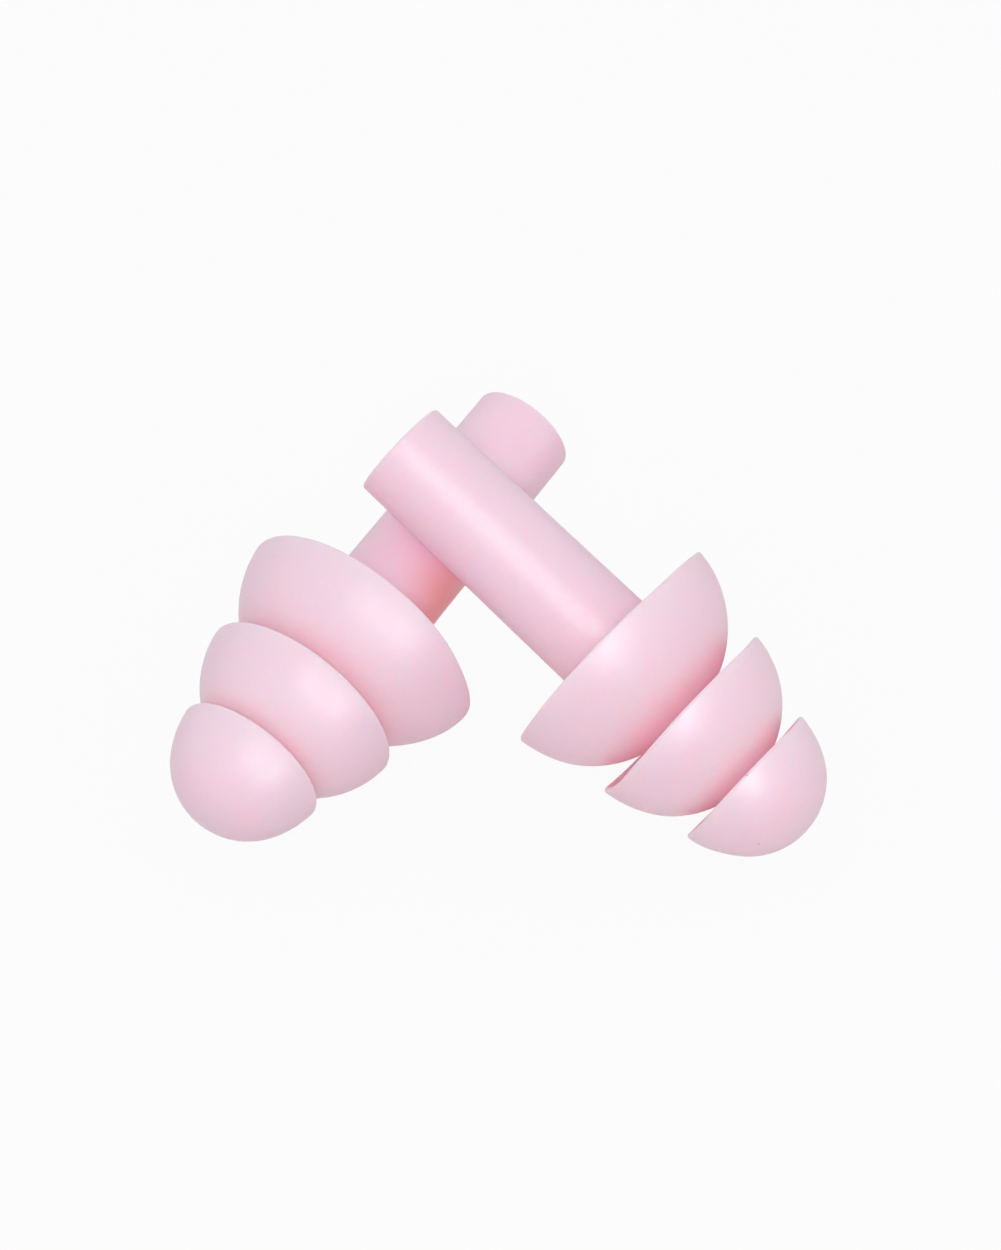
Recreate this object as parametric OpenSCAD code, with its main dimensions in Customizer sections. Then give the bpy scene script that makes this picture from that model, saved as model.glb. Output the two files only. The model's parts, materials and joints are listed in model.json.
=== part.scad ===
// A pair of soft triple-flange ear plugs, one lying on the table and the other leaning over its stem.
// Each plug is one moulding, turned about its own axis from a single closed half-outline.

/* [Stem] */
// From the stem's free end to the rim of the first flange
stem_length = 13.8; // [11:0.1:17]
// Diameter at the free end
stem_end_d = 5.1; // [4.6:0.05:5.4]
// Diameter at the root, under the first flange
stem_root_d = 5.4; // [5:0.05:5.8]
// Rounding of the free end's edge
stem_edge_r = 0.15; // [0.05:0.05:0.5]

/* [Cord socket] */
// Diameter of the blind hole in the free end
socket_d = 2; // [1.6:0.1:2.6]
// Depth of the hole to its flat bottom
socket_depth = 10; // [6:0.5:14]

/* [Flanges] */
// Diameter of the first and largest rim
flange_1_d = 12.5; // [11.5:0.1:13.5]
// Diameter of the second rim
flange_2_d = 10.35; // [9.6:0.05:11.1]
// Diameter of the third rim, at the nose
flange_3_d = 7.75; // [7.2:0.05:8.4]
// From the first rim to the second
pitch_1 = 4.8; // [4.4:0.05:5.4]
// From the second rim to the third
pitch_2 = 4.15; // [3.8:0.05:4.8]
// From the third rim to the tip of the nose
nose_height = 4; // [3.7:0.05:4.4]
// Radius of the first flange's dome, in section
dome_1_r = 5.65; // [5.3:0.05:6.2]
// Radius of the second flange's dome, in section
dome_2_r = 5; // [4.6:0.05:5.4]
// Radius of the third flange's dome, in section
dome_3_r = 5.3; // [4.9:0.05:6]
// How far the skirts lean in at their rims, in degrees
skirt_lean = 7; // [4:0.5:10]

/* [Walls] */
// Thickness of the skirts at their round lips
lip_t = 0.3; // [0.2:0.02:0.5]
// Thickness of the skirts where they leave the core
root_t = 1; // [0.7:0.05:1.3]
// Diameter of the neck inside the second flange
neck_2_d = 4.4; // [3.8:0.1:4.8]
// Diameter of the neck inside the third flange
neck_3_d = 3.8; // [3.2:0.1:4.2]
// Rounding of the hollows' roofs
roof_r = 0.45; // [0.2:0.05:0.6]
// Rounding of the valleys between a dome and the next neck
valley_r = 0.3; // [0.1:0.05:0.5]

/* [Pose] */
// Bearing of the lower plug's nose, in degrees from +X towards +Y
lower_turn = -125; // [-140:1:-110]
// Bearing of the upper plug's nose
upper_turn = -35.2; // [-50:0.2:-20]
// Where the stems cross, from the lower stem's free end
lower_cross = 7.9; // [5:0.1:9]
// Where the stems cross, from the upper stem's free end
upper_cross = 3.8; // [2.8:0.1:7]
// Gap between the two stems
stem_gap = 0.05; // [0.02:0.01:0.3]

/* [Hidden] */
silicone = [0.93, 0.8, 0.86];
arc_sag = 0.01;
turn_steps = 120;
settle_steps = 30;
steepest_lean = 60;

stem_end_r = stem_end_d / 2;
socket_r = socket_d / 2;
lip_r = lip_t / 2;
core_r = [stem_root_d / 2, neck_2_d / 2, neck_3_d / 2];
rim_r = [flange_1_d / 2, flange_2_d / 2, flange_3_d / 2];
rim_s = [stem_length, stem_length + pitch_1, stem_length + pitch_1 + pitch_2];
dome_r = [dome_1_r, dome_2_r, dome_3_r];
nose_s = rim_s[2] + nose_height;
out = [cos(skirt_lean), sin(skirt_lean)];

// Half-outline: x is the distance from the axis, y the distance from the stem's free end.
// An arc's chords stay within arc_sag of it. It leaves out its last point, where the next arc begins;
// before a straight stretch that point is given.
function arc(c, r, from, to) =
    let (steps = ceil(abs(to - from) / (2 * acos(1 - arc_sag / r))))
    [for (i = [0:steps - 1]) let (a = from + (to - from) * i / steps) c + r * [cos(a), sin(a)]];

// A circle that stands at x and touches the circle c, r from inside (side = -1) or outside (side = 1)
function blend_c(c, r, x, fillet, side) =
    [x, c.y + sqrt((r + side * fillet) ^ 2 - (x - c.x) ^ 2)];
function bearing(from, to) = atan2(to.y - from.y, to.x - from.x);

// The dome and the hollow beneath it touch the round lip on one line through all three centres,
// so the skirt thickens evenly from lip_t to root_t.
function lip_c(k) = [rim_r[k], rim_s[k] + lip_r] - lip_r * [out.x, 0];
function dome_c(k) = lip_c(k) - (dome_r[k] - lip_r) * out;
function hollow_r(k) = dome_r[k] - root_t;
function hollow_c(k) = lip_c(k) - (hollow_r(k) + lip_r) * out;
function roof_c(k) = blend_c(hollow_c(k), hollow_r(k), core_r[k] + roof_r, roof_r, -1);
function valley_c(k) = blend_c(dome_c(k), dome_r[k], core_r[k + 1] + valley_r, valley_r, 1);

// The nose is an arc centred on the axis that runs on from the third dome
nose_h = nose_s - dome_c(2).y;
nose_r = (nose_h ^ 2 + dome_c(2).x ^ 2 - dome_r[2] ^ 2) / (2 * (nose_h - dome_r[2]));
nose_c = [0, nose_s - nose_r];

function hollow_side(k) = let (top = bearing(hollow_c(k), roof_c(k))) concat(
    arc(roof_c(k), roof_r, 180, top),
    arc(hollow_c(k), hollow_r(k), top, skirt_lean),
    arc(lip_c(k), lip_r, skirt_lean + 180, skirt_lean + 360)
);
function dome_side(k) = let (top = bearing(dome_c(k), valley_c(k))) concat(
    arc(dome_c(k), dome_r[k], skirt_lean, top),
    arc(valley_c(k), valley_r, top + 180, 180),
    [[core_r[k + 1], valley_c(k).y]]
);
function nose_side() = let (top = bearing(dome_c(2), nose_c)) concat(
    arc(dome_c(2), dome_r[2], skirt_lean, top),
    arc(nose_c, nose_r, top, 90)
);

outline = concat(
    [[0, socket_depth], [socket_r, socket_depth], [socket_r, 0]],
    arc([stem_end_r - stem_edge_r, stem_edge_r], stem_edge_r, 270, 360),
    [[stem_end_r, stem_edge_r]],
    hollow_side(0),
    dome_side(0),
    hollow_side(1),
    dome_side(1),
    hollow_side(2),
    nose_side(),
    [[0, nose_s]]
);

// Direction of a plug's axis, from its free end to its nose, leaning below the level
function heading(turn, lean) = [cos(lean) * cos(turn), cos(lean) * sin(turn), -sin(lean)];
// Height of the free end's centre when the plug's lowest point is on the table
function rest_height(lean) = max([for (p = outline) p.x * cos(lean) + p.y * sin(lean)]);
function stem_r_at(s) = stem_end_r + (core_r[0] - stem_end_r) * s / roof_c(0).y;

// The lower plug lies on its first two domes at once
lower_lean = asin((dome_r[0] - dome_r[1]) / norm(dome_c(1) - dome_c(0)))
    + atan2(dome_c(0).x - dome_c(1).x, dome_c(1).y - dome_c(0).y);
lower_dir = heading(lower_turn, lower_lean);
lower_start = [0, 0, rest_height(lower_lean)];

// The upper plug leans on the lower stem, and its lean settles where its nose flange meets the table
axis_gap = stem_r_at(lower_cross) + stem_r_at(upper_cross) + stem_gap;
function upright(n) = n / norm(n) * sign(n.z);
function upper_start_at(lean) = let (dir = heading(upper_turn, lean))
    lower_start + lower_cross * lower_dir + axis_gap * upright(cross(lower_dir, dir)) - upper_cross * dir;
function settle(low, high, n) = let (mid = (low + high) / 2)
    n == 0 ? mid
    : upper_start_at(mid).z > rest_height(mid) ? settle(mid, high, n - 1)
    : settle(low, mid, n - 1);
upper_lean = settle(0, steepest_lean, settle_steps);
upper_dir = heading(upper_turn, upper_lean);
upper_start = upper_start_at(upper_lean);

// The origin is on the table, in the middle of the pair
function reach(start, dir, i, side) =
    side * max([for (p = outline) side * (start[i] + p.y * dir[i]) + p.x * sqrt(1 - dir[i] ^ 2)]);
function middle(i) = (
    min(reach(lower_start, lower_dir, i, -1), reach(upper_start, upper_dir, i, -1))
    + max(reach(lower_start, lower_dir, i, 1), reach(upper_start, upper_dir, i, 1))
) / 2;
origin = [middle(0), middle(1), 0];

module plug() {
    rotate_extrude($fn = turn_steps) polygon(outline);
}

module lower_plug() {
    color(silicone) translate(lower_start - origin) rotate([0, 90 + lower_lean, lower_turn]) plug();
}

module upper_plug() {
    color(silicone) translate(upper_start - origin) rotate([0, 90 + upper_lean, upper_turn]) plug();
}

lower_plug();
upper_plug();
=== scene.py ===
import json
import math
import bpy
from mathutils import Matrix, Vector, kdtree


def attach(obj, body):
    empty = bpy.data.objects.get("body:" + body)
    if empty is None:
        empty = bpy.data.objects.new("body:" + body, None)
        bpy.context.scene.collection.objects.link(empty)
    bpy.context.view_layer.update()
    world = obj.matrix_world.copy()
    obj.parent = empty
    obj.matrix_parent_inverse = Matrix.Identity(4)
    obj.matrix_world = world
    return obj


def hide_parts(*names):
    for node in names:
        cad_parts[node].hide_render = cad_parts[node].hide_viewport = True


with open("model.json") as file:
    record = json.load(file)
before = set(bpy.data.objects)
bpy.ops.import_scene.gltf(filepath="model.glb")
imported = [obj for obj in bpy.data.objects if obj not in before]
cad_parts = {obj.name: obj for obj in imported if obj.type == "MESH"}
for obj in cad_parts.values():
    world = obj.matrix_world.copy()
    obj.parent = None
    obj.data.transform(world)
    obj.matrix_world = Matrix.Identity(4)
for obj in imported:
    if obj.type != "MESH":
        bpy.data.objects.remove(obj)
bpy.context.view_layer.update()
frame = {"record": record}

scene = bpy.context.scene
scene.view_settings.view_transform = "Standard"
scene.cycles.max_bounces = 24                  # light goes on through pale rubber
scene.cycles.diffuse_bounces = 24
mm = 0.001
mounts = {m["name"]: m for m in frame["record"]["mounts"]}

cameraView = {
    "target": (-0.02, 6.03, 0.0),              # point on the table that the lens looks at, mm
    "distance": 393.54,                        # from there to the lens, mm
    "elevation": 43.91,                        # degrees above the table
    "roll": 0.96,                              # degrees round the line of sight
    "lens": 230.17,                            # on a 36 mm sensor
}


def placeCamera(view):
    data = bpy.data.cameras.new("studioCamera")
    data.lens = view["lens"]
    data.clip_start = 0.01
    cam = bpy.data.objects.new("studioCamera", data)
    scene.collection.objects.link(cam)
    up = math.radians(view["elevation"])
    back = Vector((0.0, -math.cos(up), math.sin(up)))
    place = Vector(view["target"]) * mm + back * view["distance"] * mm
    pitch = Matrix.Rotation(math.pi / 2 - up, 4, "X")
    roll = Matrix.Rotation(math.radians(view["roll"]), 4, "Z")
    cam.matrix_world = Matrix.Translation(place) @ pitch @ roll
    scene.camera = cam
    print("camera placed")


placeCamera(cameraView)

plugShape = {                                  # one plug in mm; y runs from the free end to the nose
    "stemEnd": 2.55,                           # radius at the free end
    "stemEdge": 0.15,                          # rounding of the free end
    "socket": 1.0,                             # radius of the cord socket
    "socketDepth": 10.0,
    "socketMouth": 0.15,
    "cores": (2.70, 2.20, 1.90),               # radius of the stem, then of the two necks
    "rims": (6.25, 5.175, 3.875),              # radii of the three lips
    "places": (13.8, 18.6, 22.75),             # lips, from the free end
    "domes": (5.65, 5.0, 5.3),                 # dome radii in section
    "nose": 26.75,                             # whole length
    "lean": 7.0,                               # how far the skirts lean in at the lip, degrees
    "lip": 0.15,                               # radius of the round lips
    "wall": 1.0,                               # skirt thickness at its root
    "roof": 0.45,                              # rounding of the hollows
    "valley": 0.30,                            # rounding between a dome and the next neck
    "turns": 144,                              # steps round the axis
    "lipShare": 0.2,                           # share of a dome that still has the lip's tone
    "merge": 0.002,                            # points closer than this become one
    "lipDepth": 0.5,                           # how far in from the rim a lip is picked
    "lipHeight": 0.4,                          # and how far up and down the axis
    "pickMargin": 0.1,                         # degrees that keep a pick clear of the steps round the axis
    "stemInner": 2.0,                          # the stem's outside starts beyond this radius
}


def arcPoints(centre, radius, start, end, steps):
    points = []
    for i in range(steps):
        a = math.radians(start + (end - start) * i / steps)
        points.append((centre[0] + radius * math.cos(a), centre[1] + radius * math.sin(a)))
    return points


def toned(points, foldLightMask, thin):                 # how far into a fold, for painted light in the folds, and how thin at a lip, 0 to 1, along the points
    count = len(points)
    return [
        (x, y, foldLightMask[0] + (foldLightMask[1] - foldLightMask[0]) * (i / count) ** 2, thin[0] + (thin[1] - thin[0]) * i / count)
        for i, (x, y) in enumerate(points)
    ]


def touching(centre, radius, x, fillet, side):
    reach = radius + side * fillet
    return (x, centre[1] + math.sqrt(reach * reach - (x - centre[0]) ** 2))


def bearing(a, b):
    return math.degrees(math.atan2(b[1] - a[1], b[0] - a[0]))


def skirtOutline(shape, k):
    lean = shape["lean"]
    dx, dy = math.cos(math.radians(lean)), math.sin(math.radians(lean))
    lip, dome = shape["lip"], shape["domes"][k]
    hollow = dome - shape["wall"]
    lipC = (shape["rims"][k] - lip * dx, shape["places"][k] + lip)
    domeC = (lipC[0] - (dome - lip) * dx, lipC[1] - (dome - lip) * dy)
    hollowC = (lipC[0] - (hollow + lip) * dx, lipC[1] - (hollow + lip) * dy)
    roofC = touching(hollowC, hollow, shape["cores"][k] + shape["roof"], shape["roof"], -1)
    top = bearing(hollowC, roofC)
    # the first pair in each toned() call is the fold mask, which paints light into hollows and valleys
    points = toned(arcPoints(roofC, shape["roof"], 180.0, top, 8), (1.0, 1.0), (0.0, 0.0))
    points += toned(arcPoints(hollowC, hollow, top, lean, 16), (1.0, 0.2), (0.0, 1.0))
    points += toned(arcPoints(lipC, lip, lean + 180.0, lean + 360.0, 10), (0.2, 0.0), (1.0, 1.0))
    if k < 2:
        valleyC = touching(domeC, dome, shape["cores"][k + 1] + shape["valley"], shape["valley"], 1)
        top = bearing(domeC, valleyC)
        turn = lean + (top - lean) * shape["lipShare"]
        points += toned(arcPoints(domeC, dome, lean, turn, 6), (0.0, 0.0), (1.0, 0.0))
        points += toned(arcPoints(domeC, dome, turn, top, 18), (0.0, 1.0), (0.0, 0.0))
        points += toned(arcPoints(valleyC, shape["valley"], top + 180.0, 180.0, 6), (1.0, 1.0), (0.0, 0.0))
    else:
        rise = shape["nose"] - domeC[1]        # the nose arc runs on from the last dome
        noseR = (rise ** 2 + domeC[0] ** 2 - dome ** 2) / (2.0 * (rise - dome))
        noseC = (0.0, shape["nose"] - noseR)
        top = bearing(domeC, noseC)
        points += toned(arcPoints(domeC, dome, lean, top, 12), (0.0, 0.0), (1.0, 0.0))
        points += toned(arcPoints(noseC, noseR, top, 90.0, 16), (0.0, 0.0), (0.0, 0.0))
    return points


def plugOutline(shape):
    socket, mouth, edge = shape["socket"], shape["socketMouth"], shape["stemEdge"]
    points = [(0.0, shape["socketDepth"]), (socket * 0.5, shape["socketDepth"])]
    points += [(socket, shape["socketDepth"] - i) for i in range(10)]
    points = toned(points, (1.0, 1.0), (0.0, 0.0))
    points += toned(arcPoints((socket + mouth, mouth), mouth, 180.0, 270.0, 6), (1.0, 0.0), (0.0, 0.0))
    points += toned(arcPoints((shape["stemEnd"] - edge, edge), edge, 270.0, 360.0, 6), (0.0, 0.0), (0.5, 0.5))
    first = skirtOutline(shape, 0)
    steps = 20
    stem = [                                   # the stem widens evenly up to the first hollow
        (
            shape["stemEnd"] + (first[0][0] - shape["stemEnd"]) * i / steps,
            edge + (first[0][1] - edge) * i / steps,
        )
        for i in range(steps)
    ]
    # the fold mask rises on the stem towards the first hollow, for painted light there
    points += toned(stem[:12], (0.0, 0.0), (0.0, 0.0)) + toned(stem[12:], (0.0, 1.0), (0.0, 0.0))
    points += first + skirtOutline(shape, 1) + skirtOutline(shape, 2)
    points.append((0.0, shape["nose"], 0.0, 0.0))
    return points


def deselectAll():
    bpy.ops.object.select_all(action="DESELECT")


def turnPlug(name, shape, outline):
    deselectAll()
    bpy.ops.mesh.primitive_plane_add(size=1.0, location=(0.0, 0.0, 0.0))
    plug = bpy.context.object
    plug.name = name
    bpy.ops.object.mode_set(mode="EDIT")
    bpy.ops.mesh.select_all(action="SELECT")
    bpy.ops.mesh.merge(type="CENTER")          # one vertex is left to draw the outline with
    x, y = outline[0][:2]
    bpy.ops.transform.translate(value=(x, 0.0, y))
    for nextX, nextY, foldLightMask, thin in outline[1:]:
        bpy.ops.mesh.extrude_region_move(
            TRANSFORM_OT_translate={"value": (nextX - x, 0.0, nextY - y)})
        x, y = nextX, nextY
    bpy.ops.object.mode_set(mode="OBJECT")
    bpy.ops.object.modifier_add(type="SCREW")  # gives the same faces in the same order each run
    screw = plug.modifiers[-1]
    screw.angle = 2.0 * math.pi
    screw.steps = shape["turns"]
    screw.render_steps = shape["turns"]
    screw.use_merge_vertices = True
    screw.merge_threshold = shape["merge"]
    bpy.ops.object.modifier_apply(modifier=screw.name)
    bpy.ops.object.mode_set(mode="EDIT")
    bpy.ops.mesh.select_all(action="SELECT")
    bpy.ops.mesh.remove_doubles(threshold=shape["merge"])
    bpy.ops.mesh.normals_make_consistent(inside=False)
    bpy.ops.object.mode_set(mode="OBJECT")
    bpy.ops.object.shade_smooth()
    print(name, "turned:", len(plug.data.vertices), "points")
    return plug


def keepTones(plug, shape, outline):           # the tones of the outline go on the points turned from it
    tree = kdtree.KDTree(len(outline))
    for i, point in enumerate(outline):
        tree.insert((point[0], point[1], 0.0), i)
    tree.balance()
    mesh = plug.data
    # the fold mask carries painted light into the hollows and valleys
    foldLightMask = mesh.attributes.new("foldLightMask", "FLOAT", "POINT")
    thin = mesh.attributes.new("thin", "FLOAT", "POINT")
    stem = mesh.attributes.new("stem", "FLOAT", "POINT")
    for i, vertex in enumerate(mesh.vertices):
        x, y, z = vertex.co
        nearest = tree.find((math.hypot(x, y), z, 0.0))[1]
        foldLightMask.data[i].value, thin.data[i].value = outline[nearest][2:]
        onStem = shape["stemInner"] < math.hypot(x, y) < shape["cores"][0] + 0.01
        if onStem and z < shape["places"][0]:
            stem.data[i].value = 1.0


def pickLip(plug, shape, change):
    k, angle = change["skirt"], change["angle"]
    rim, place = shape["rims"][k], shape["places"][k]
    for vertex in plug.data.vertices:
        x, y, z = vertex.co
        turn = (math.degrees(math.atan2(y, x)) - angle + 180.0) % 360.0 - 180.0
        onLip = math.hypot(x, y) > rim - shape["lipDepth"] and abs(z - place) < shape["lipHeight"]
        vertex.select = onLip and abs(turn) < change["spread"] + shape["pickMargin"]


def easeLips(plug, shape, changes):            # soft skirts never stand quite true
    for change in changes:
        deselectAll()
        plug.select_set(True)
        bpy.context.view_layer.objects.active = plug
        bpy.ops.object.mode_set(mode="EDIT")
        bpy.ops.mesh.select_all(action="DESELECT")
        bpy.ops.object.mode_set(mode="OBJECT")
        angle = math.radians(change["angle"])
        pickLip(plug, shape, change)
        bpy.ops.object.mode_set(mode="EDIT")
        out, along = change["out"], change["along"]
        bpy.ops.transform.translate(
            value=(out * math.cos(angle), out * math.sin(angle), along),
            use_proportional_edit=True, use_proportional_connected=True,
            proportional_edit_falloff="SMOOTH", proportional_size=change["reach"])
        bpy.ops.object.mode_set(mode="OBJECT")


def placePlug(plug, nose, shape):
    axis = Vector(nose["axis"]).normalized()
    start = Vector(nose["pos_m"]) - axis * shape["nose"] * mm
    plug.rotation_mode = "QUATERNION"
    plug.rotation_quaternion = Vector((0.0, 0.0, 1.0)).rotation_difference(axis)
    plug.scale = (mm, mm, mm)
    plug.location = start
    deselectAll()
    plug.select_set(True)
    bpy.context.view_layer.objects.active = plug
    bpy.ops.object.transform_apply(location=True, rotation=True, scale=True)


rubberLook = {                                 # shared by both plugs
    "openTone": (0.97, 0.70, 0.81, 1.0),       # colour of the open surfaces
    "foldLightTone": (1.0, 0.805, 0.85, 1.0),       # painted light: paler and redder in the hollows and valleys, lifting the shade there
    "lipTone": (0.98, 0.73, 0.82, 1.0),        # at the thin lips
    "paintedShadeTone": (1.0, 0.36, 0.31, 1.0),        # painted shade: a coral darkening where the plugs shade the stem, coloured as light coming through the stem
    "paintedShadeReach": 0.0040,                       # metres
    "mottle": 0.035,                           # how uneven the colour is
    "mottleSize": 420.0,
    "roughness": 0.47,
    "roughnessSpread": 0.08,
    "wearShare": 0.6,                          # size of the uneven gloss against the mottle
    "grainSize": 9000.0,
    "grainHeight": 0.000004,                   # metres
    "scatterReach": (1.0, 0.2, 0.15),          # how far red, green and blue travel in the rubber
    "scatterScale": 0.0010,                    # metres
    "ior": 1.41,
    "specular": 0.75,
    "speck": (0.60, 0.42, 0.46, 1.0),          # colour of the dust
    "speckCells": 900.0,
    "speckSize": 0.05,
}
plugLooks = {
    "lower_plug": {
        # painted shade on the stem below the crossing of the plugs
        "paintedShadePlace": (-0.0024, 0.0000, 0.0066), "paintedShadeAmount": 0.78,
        "speckShare": 0.02, "shift": (0.0, 0.0, 0.0),
    },
    "upper_plug": {
        # a faint painted shade patch on this plug's stem
        "paintedShadePlace": (0.0035, -0.0030, 0.0070), "paintedShadeAmount": 0.15,
        "speckShare": 0.5, "shift": (0.031, 0.012, 0.007),
    },
}


def newGroup(name, inputs, outputs):
    group = bpy.data.node_groups.new(name, "ShaderNodeTree")
    for label, kind in inputs:
        group.interface.new_socket(name=label, in_out="INPUT", socket_type="NodeSocket" + kind)
    for label, kind in outputs:
        group.interface.new_socket(name=label, in_out="OUTPUT", socket_type="NodeSocket" + kind)
    nodes = group.nodes
    return group, nodes.new("NodeGroupInput"), nodes.new("NodeGroupOutput")


def addMath(nodes, links, operation, first, second):
    step = nodes.new("ShaderNodeMath")
    step.operation = operation
    for socket, value in zip(step.inputs, (first, second)):
        if isinstance(value, (int, float)):
            socket.default_value = value
        else:
            links.new(value, socket)
    return step.outputs[0]


def addMix(nodes, links, fac, first, second):
    mix = nodes.new("ShaderNodeMix")
    mix.data_type = "RGBA"
    for place, value in ((0, fac), (6, first), (7, second)):
        if isinstance(value, (int, float, tuple)):
            mix.inputs[place].default_value = value
        else:
            links.new(value, mix.inputs[place])
    return mix.outputs[2]


def addMask(nodes, name):
    mask = nodes.new("ShaderNodeAttribute")
    mask.attribute_name = name
    return mask.outputs["Fac"]


def addNoise(nodes, links, vector, scale, detail):
    noise = nodes.new("ShaderNodeTexNoise")
    noise.inputs["Detail"].default_value = detail
    links.new(vector, noise.inputs["Vector"])
    links.new(scale, noise.inputs["Scale"])
    return noise.outputs["Fac"]


def makeToneWithPaintedLightAndShade():                                # painted light, paler and redder in the folds; painted shade on the stem; paler at the lips, faintly uneven
    group, put, get = newGroup("rubberToneWithPaintedLightAndShade", (
        ("Vector", "Vector"), ("Open", "Color"), ("Fold Light", "Color"), ("Lip", "Color"), ("Painted Shade", "Color"),
        ("Painted Shade Place", "Vector"), ("Painted Shade Reach", "Float"), ("Painted Shade Amount", "Float"),
        ("Mottle", "Float"), ("Mottle Size", "Float")), (("Colour", "Color"),))
    nodes, links = group.nodes, group.links
    # painted light: the fold mask lifts hollows and valleys towards the paler, redder fold tone
    colour = addMix(nodes, links, addMask(nodes, "foldLightMask"), put.outputs["Open"], put.outputs["Fold Light"])
    colour = addMix(nodes, links, addMask(nodes, "thin"), colour, put.outputs["Lip"])
    # painted shade: a coral patch on the stem near a given place, where the plugs shade each other
    coords = nodes.new("ShaderNodeTexCoord")
    away = nodes.new("ShaderNodeVectorMath")
    away.operation = "DISTANCE"
    links.new(coords.outputs["Object"], away.inputs[0])
    links.new(put.outputs["Painted Shade Place"], away.inputs[1])
    near = nodes.new("ShaderNodeMapRange")
    near.interpolation_type = "SMOOTHSTEP"
    links.new(put.outputs["Painted Shade Reach"], near.inputs["From Min"])
    near.inputs["From Max"].default_value = 0.0
    links.new(away.outputs["Value"], near.inputs["Value"])
    paintedShade = addMath(nodes, links, "MULTIPLY", addMask(nodes, "stem"), near.outputs[0])
    paintedShade = addMath(nodes, links, "MULTIPLY", paintedShade, put.outputs["Painted Shade Amount"])
    colour = addMix(nodes, links, paintedShade, colour, put.outputs["Painted Shade"])
    spread = addNoise(nodes, links, put.outputs["Vector"], put.outputs["Mottle Size"], 3.0)
    spread = addMath(nodes, links, "SUBTRACT", spread, 0.5)
    spread = addMath(nodes, links, "MULTIPLY", spread, put.outputs["Mottle"])
    value = nodes.new("ShaderNodeHueSaturation")
    links.new(addMath(nodes, links, "ADD", spread, 1.0), value.inputs["Saturation"])
    links.new(colour, value.inputs["Color"])
    links.new(value.outputs[0], get.inputs["Colour"])
    return group


def makeGrain():                               # satin of the mould
    group, put, get = newGroup("mouldGrain", (
        ("Vector", "Vector"), ("Grain Size", "Float"), ("Roughness", "Float"), ("Spread", "Float"),
        ("Wear Size", "Float")), (("Height", "Float"), ("Roughness", "Float")))
    nodes, links = group.nodes, group.links
    links.new(addNoise(nodes, links, put.outputs["Vector"], put.outputs["Grain Size"], 2.0), get.inputs["Height"])
    wear = addNoise(nodes, links, put.outputs["Vector"], put.outputs["Wear Size"], 4.0)
    wear = addMath(nodes, links, "SUBTRACT", wear, 0.5)
    wear = addMath(nodes, links, "MULTIPLY", wear, put.outputs["Spread"])
    links.new(addMath(nodes, links, "ADD", wear, put.outputs["Roughness"]), get.inputs["Roughness"])
    return group


def makeSpecks():                              # a few specks of dust on the skirts and the nose
    group, put, get = newGroup("dustSpecks", (
        ("Vector", "Vector"), ("Cells", "Float"), ("Size", "Float"), ("Share", "Float")), (("Mask", "Float"),))
    nodes, links = group.nodes, group.links
    cells = nodes.new("ShaderNodeTexVoronoi")
    links.new(put.outputs["Vector"], cells.inputs["Vector"])
    links.new(put.outputs["Cells"], cells.inputs["Scale"])
    near = addMath(nodes, links, "LESS_THAN", cells.outputs["Distance"], put.outputs["Size"])
    pick = nodes.new("ShaderNodeSeparateColor")
    links.new(cells.outputs["Color"], pick.inputs[0])
    some = addMath(nodes, links, "LESS_THAN", pick.outputs[0], put.outputs["Share"])
    some = addMath(nodes, links, "MULTIPLY", near, some)
    skirts = addMath(nodes, links, "SUBTRACT", 1.0, addMask(nodes, "stem"))
    links.new(addMath(nodes, links, "MULTIPLY", some, skirts), get.inputs["Mask"])
    return group


def placeGroup(nodes, links, group, vector, values):
    node = nodes.new("ShaderNodeGroup")
    node.node_tree = group
    links.new(vector, node.inputs["Vector"])
    for label, value in values.items():
        node.inputs[label].default_value = value
    return node


def makeRubber(name, look, own, groups):
    mat = bpy.data.materials.new(name)
    mat.use_nodes = True
    nodes, links = mat.node_tree.nodes, mat.node_tree.links
    shader = nodes["Principled BSDF"]
    coords = nodes.new("ShaderNodeTexCoord")
    mapping = nodes.new("ShaderNodeMapping")
    mapping.inputs["Location"].default_value = own["shift"]
    links.new(coords.outputs["Object"], mapping.inputs["Vector"])
    vector = mapping.outputs[0]
    # the tone group paints light into the folds and shade onto the stem
    tone = placeGroup(nodes, links, groups["tone"], vector, {
        "Open": look["openTone"], "Fold Light": look["foldLightTone"], "Lip": look["lipTone"], "Painted Shade": look["paintedShadeTone"],
        "Painted Shade Place": own["paintedShadePlace"], "Painted Shade Reach": look["paintedShadeReach"], "Painted Shade Amount": own["paintedShadeAmount"],
        "Mottle": look["mottle"], "Mottle Size": look["mottleSize"]})
    specks = placeGroup(nodes, links, groups["specks"], vector, {
        "Cells": look["speckCells"], "Size": look["speckSize"], "Share": own["speckShare"]})
    grain = placeGroup(nodes, links, groups["grain"], vector, {
        "Grain Size": look["grainSize"], "Roughness": look["roughness"],
        "Spread": look["roughnessSpread"], "Wear Size": look["mottleSize"] * look["wearShare"]})
    colour = addMix(nodes, links, specks.outputs["Mask"], tone.outputs["Colour"], look["speck"])
    links.new(colour, shader.inputs["Base Color"])
    links.new(grain.outputs["Roughness"], shader.inputs["Roughness"])
    bump = nodes.new("ShaderNodeBump")
    bump.inputs["Distance"].default_value = look["grainHeight"]
    links.new(grain.outputs["Height"], bump.inputs["Height"])
    links.new(bump.outputs[0], shader.inputs["Normal"])
    shader.inputs["IOR"].default_value = look["ior"]
    shader.inputs["Specular IOR Level"].default_value = look["specular"]
    shader.inputs["Subsurface Weight"].default_value = 1.0
    shader.inputs["Subsurface Radius"].default_value = look["scatterReach"]
    shader.inputs["Subsurface Scale"].default_value = look["scatterScale"]
    return mat


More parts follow.
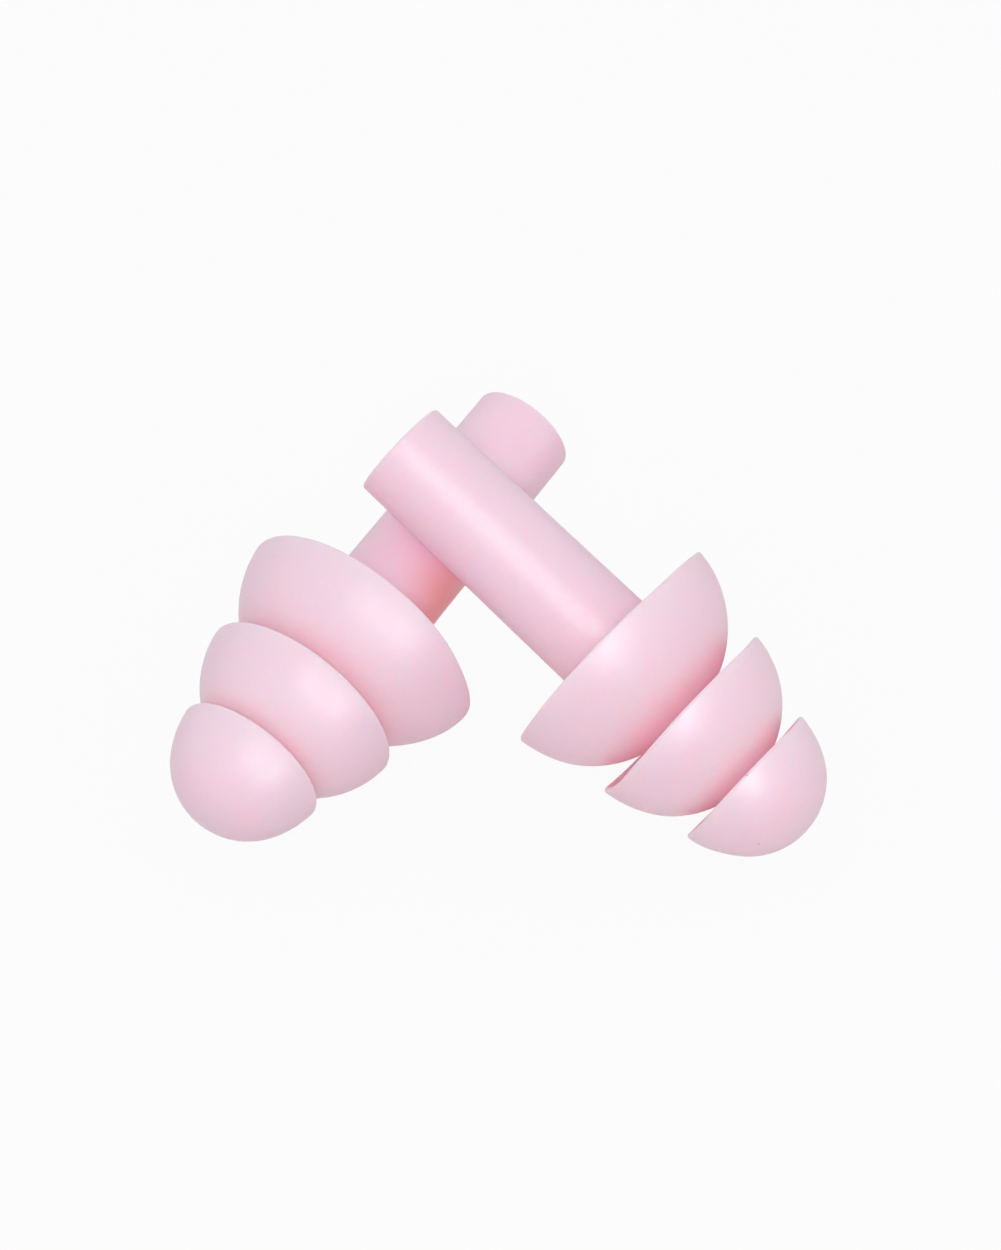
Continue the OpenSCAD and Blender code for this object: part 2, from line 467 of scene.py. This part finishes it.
lipChanges = {                                 # mm and degrees round the plug
    "lower_plug": (
        {"skirt": 0, "angle": 288.0, "spread": 18.0, "out": 0.36, "along": 0.0, "reach": 3.8},
    ),
    "upper_plug": (
        {"skirt": 0, "angle": 130.0, "spread": 18.0, "out": 0.0, "along": 0.09, "reach": 4.0},
        {"skirt": 0, "angle": 190.0, "spread": 15.0, "out": 0.0, "along": -0.05, "reach": 4.0},
        {"skirt": 0, "angle": 270.0, "spread": 15.0, "out": -0.10, "along": 0.0, "reach": 3.5},
        {"skirt": 1, "angle": 180.0, "spread": 50.0, "out": 0.0, "along": 0.16, "reach": 3.6},
        {"skirt": 1, "angle": 225.0, "spread": 15.0, "out": 0.0, "along": 0.05, "reach": 3.0},
        {"skirt": 1, "angle": 335.0, "spread": 45.0, "out": 0.0, "along": -0.14, "reach": 3.4},
        {"skirt": 1, "angle": 300.0, "spread": 25.0, "out": 0.0, "along": -0.14, "reach": 3.0},
        {"skirt": 2, "angle": 180.0, "spread": 50.0, "out": 0.0, "along": 0.18, "reach": 3.0},
        {"skirt": 2, "angle": 0.0, "spread": 50.0, "out": 0.0, "along": -0.04, "reach": 3.0},
        {"skirt": 2, "angle": 278.0, "spread": 20.0, "out": 0.16, "along": 0.0, "reach": 2.3},
    ),
}

groups = {"tone": makeToneWithPaintedLightAndShade(), "grain": makeGrain(), "specks": makeSpecks()}
outline = plugOutline(plugShape)
plugs = {}
for node in ("lower_plug", "upper_plug"):
    plug = turnPlug(node + "_skin", plugShape, outline)
    plugs[node] = plug
    keepTones(plug, plugShape, outline)
    easeLips(plug, plugShape, lipChanges[node])
    placePlug(plug, mounts[node.replace("_plug", "_canal_seal")], plugShape)
    plug.data.materials.append(makeRubber(node + "_silicone", rubberLook, plugLooks[node], groups))
    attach(plug, node)
    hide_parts(node)
    print(node, "placed, lowest point", round(min(v.co.z for v in plug.data.vertices) / mm, 3), "mm")

studio = {
    "floorSize": 3.0,
    "floorColour": (0.74, 0.70, 0.70, 1.0),
    "floorGlow": 0.93,                         # share of the floor's white that keeps no shadow
    "skyStrength": 0.74,
    "lampAim": (0.0, 0.0, 0.006),
    "lowerKey": {
        "place": (0.224, -0.352, 0.180), "size": 0.10, "power": 1.2, "shine": True, "only": "lower_plug",
    },
    "upperKey": {
        "place": (0.080, -0.372, 0.240), "size": 0.10, "power": 1.35, "shine": True, "only": "upper_plug",
    },
    "highKey": {"place": (0.020, -0.29, 0.36), "size": 0.14, "power": 0.62, "shine": True},
    "frontFill": {"place": (0.0, -0.36, 0.347), "size": 0.12, "power": 0.56, "shine": False},
}


def cameraLikeRays(nodes, links):
    path = nodes.new("ShaderNodeLightPath")
    seen = nodes.new("ShaderNodeMath")
    seen.operation = "MAXIMUM"
    links.new(path.outputs["Is Camera Ray"], seen.inputs[0])
    links.new(path.outputs["Is Glossy Ray"], seen.inputs[1])
    both = nodes.new("ShaderNodeMath")
    both.operation = "MAXIMUM"
    links.new(seen.outputs[0], both.inputs[0])
    links.new(path.outputs["Is Transmission Ray"], both.inputs[1])
    return both.outputs[0]


def makeFloor(values):
    deselectAll()
    bpy.ops.mesh.primitive_plane_add(size=values["floorSize"], location=(0.0, 0.0, 0.0))
    floor = bpy.context.object
    floor.name = "studioFloor"
    mat = bpy.data.materials.new("floorWhite")
    mat.use_nodes = True
    nodes, links = mat.node_tree.nodes, mat.node_tree.links
    nodes.clear()
    matt = nodes.new("ShaderNodeBsdfDiffuse")
    matt.inputs["Color"].default_value = values["floorColour"]
    glow = nodes.new("ShaderNodeEmission")
    mix = nodes.new("ShaderNodeMixShader")
    share = nodes.new("ShaderNodeMath")
    share.operation = "MULTIPLY"
    share.inputs[1].default_value = values["floorGlow"]
    links.new(cameraLikeRays(nodes, links), share.inputs[0])
    links.new(share.outputs[0], mix.inputs["Fac"])
    links.new(matt.outputs[0], mix.inputs[1])
    links.new(glow.outputs[0], mix.inputs[2])
    out = nodes.new("ShaderNodeOutputMaterial")
    links.new(mix.outputs[0], out.inputs["Surface"])
    floor.data.materials.append(mat)


def makeSky(values):
    world = bpy.data.worlds.new("studioSky")
    scene.world = world
    world.use_nodes = True
    nodes, links = world.node_tree.nodes, world.node_tree.links
    nodes.clear()
    light = nodes.new("ShaderNodeBackground")
    light.inputs["Strength"].default_value = values["skyStrength"]
    white = nodes.new("ShaderNodeBackground")
    mix = nodes.new("ShaderNodeMixShader")
    links.new(cameraLikeRays(nodes, links), mix.inputs["Fac"])
    links.new(light.outputs[0], mix.inputs[1])
    links.new(white.outputs[0], mix.inputs[2])
    out = nodes.new("ShaderNodeOutputWorld")
    links.new(mix.outputs[0], out.inputs["Surface"])
    for shade in (light, white):
        shade.inputs["Color"].default_value = (1.0, 1.0, 1.0, 1.0)


def makeLamp(name, values):
    lampValues = values[name]
    data = bpy.data.lights.new(name, "AREA")
    data.shape = "DISK"
    data.size = lampValues["size"]
    data.energy = lampValues["power"]
    lamp = bpy.data.objects.new(name, data)
    scene.collection.objects.link(lamp)
    lamp.location = lampValues["place"]
    lamp.visible_glossy = lampValues["shine"]  # the fill spreads, the keys only make highlights
    lamp.visible_diffuse = not lampValues["shine"]
    if "only" in lampValues:                   # a key may light one plug alone
        lit = bpy.data.collections.new(name + "Lit")
        lit.objects.link(plugs[lampValues["only"]])
        lamp.light_linking.receiver_collection = lit
    aim = Vector(values["lampAim"]) - lamp.location
    lamp.rotation_mode = "QUATERNION"
    lamp.rotation_quaternion = aim.to_track_quat("-Z", "Y")


makeFloor(studio)
makeSky(studio)
for lampName in ("lowerKey", "upperKey", "highKey", "frontFill"):
    makeLamp(lampName, studio)
print("studio lit")
